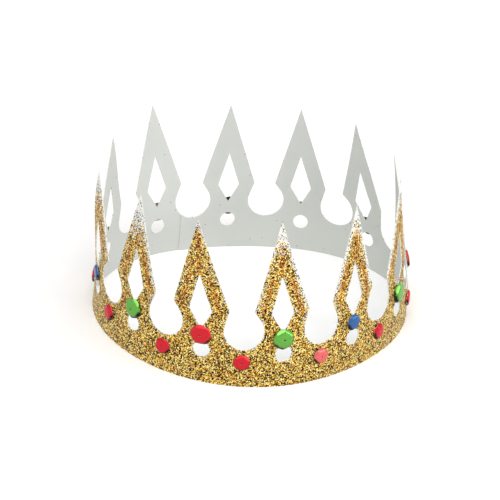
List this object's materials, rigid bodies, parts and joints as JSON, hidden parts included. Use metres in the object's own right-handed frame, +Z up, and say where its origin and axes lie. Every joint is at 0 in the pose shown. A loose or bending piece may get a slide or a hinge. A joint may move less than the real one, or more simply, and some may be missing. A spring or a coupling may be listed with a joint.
{
  "type": "paper crown",
  "caption": "Paper crown of gold glitter card, die-cut into tall spears with kite windows and round holes, glued into an oval ring that narrows upwards and set with faceted foil cup sequins.",
  "frame": {"origin": "under the middle of the bounding box, on the plane that the lower edge rests on", "axes": "X is the longer level side, pointing to the crown's right as seen from its front; Y points from the front to the back; Z is up"},
  "size_m": [0.1927, 0.1763, 0.1],
  "materials": {
    "glitter_card": "coarse gold glitter on the outer side, plain white on the inner side",
    "red_foil": "bright metallised film, finely embossed",
    "green_foil": "bright metallised film, finely embossed",
    "blue_foil": "bright metallised film, finely embossed"
  },
  "bodies": {
    "root": {"crown_card": "glitter_card", "spear_sequin_01": "blue_foil", "band_sequin_01": "red_foil", "spear_sequin_02": "green_foil", "band_sequin_02": "red_foil", "spear_sequin_03": "red_foil", "band_sequin_03": "red_foil", "spear_sequin_04": "green_foil", "band_sequin_04": "red_foil", "spear_sequin_05": "blue_foil", "band_sequin_05": "red_foil", "spear_sequin_06": "green_foil", "band_sequin_06": "red_foil", "spear_sequin_07": "red_foil", "band_sequin_07": "red_foil", "spear_sequin_08": "green_foil", "band_sequin_08": "red_foil", "spear_sequin_09": "blue_foil", "band_sequin_09": "red_foil", "spear_sequin_10": "green_foil", "band_sequin_10": "red_foil", "spear_sequin_11": "red_foil", "band_sequin_11": "red_foil", "spear_sequin_12": "green_foil", "band_sequin_12": "red_foil"}
  },
  "joints": []
}
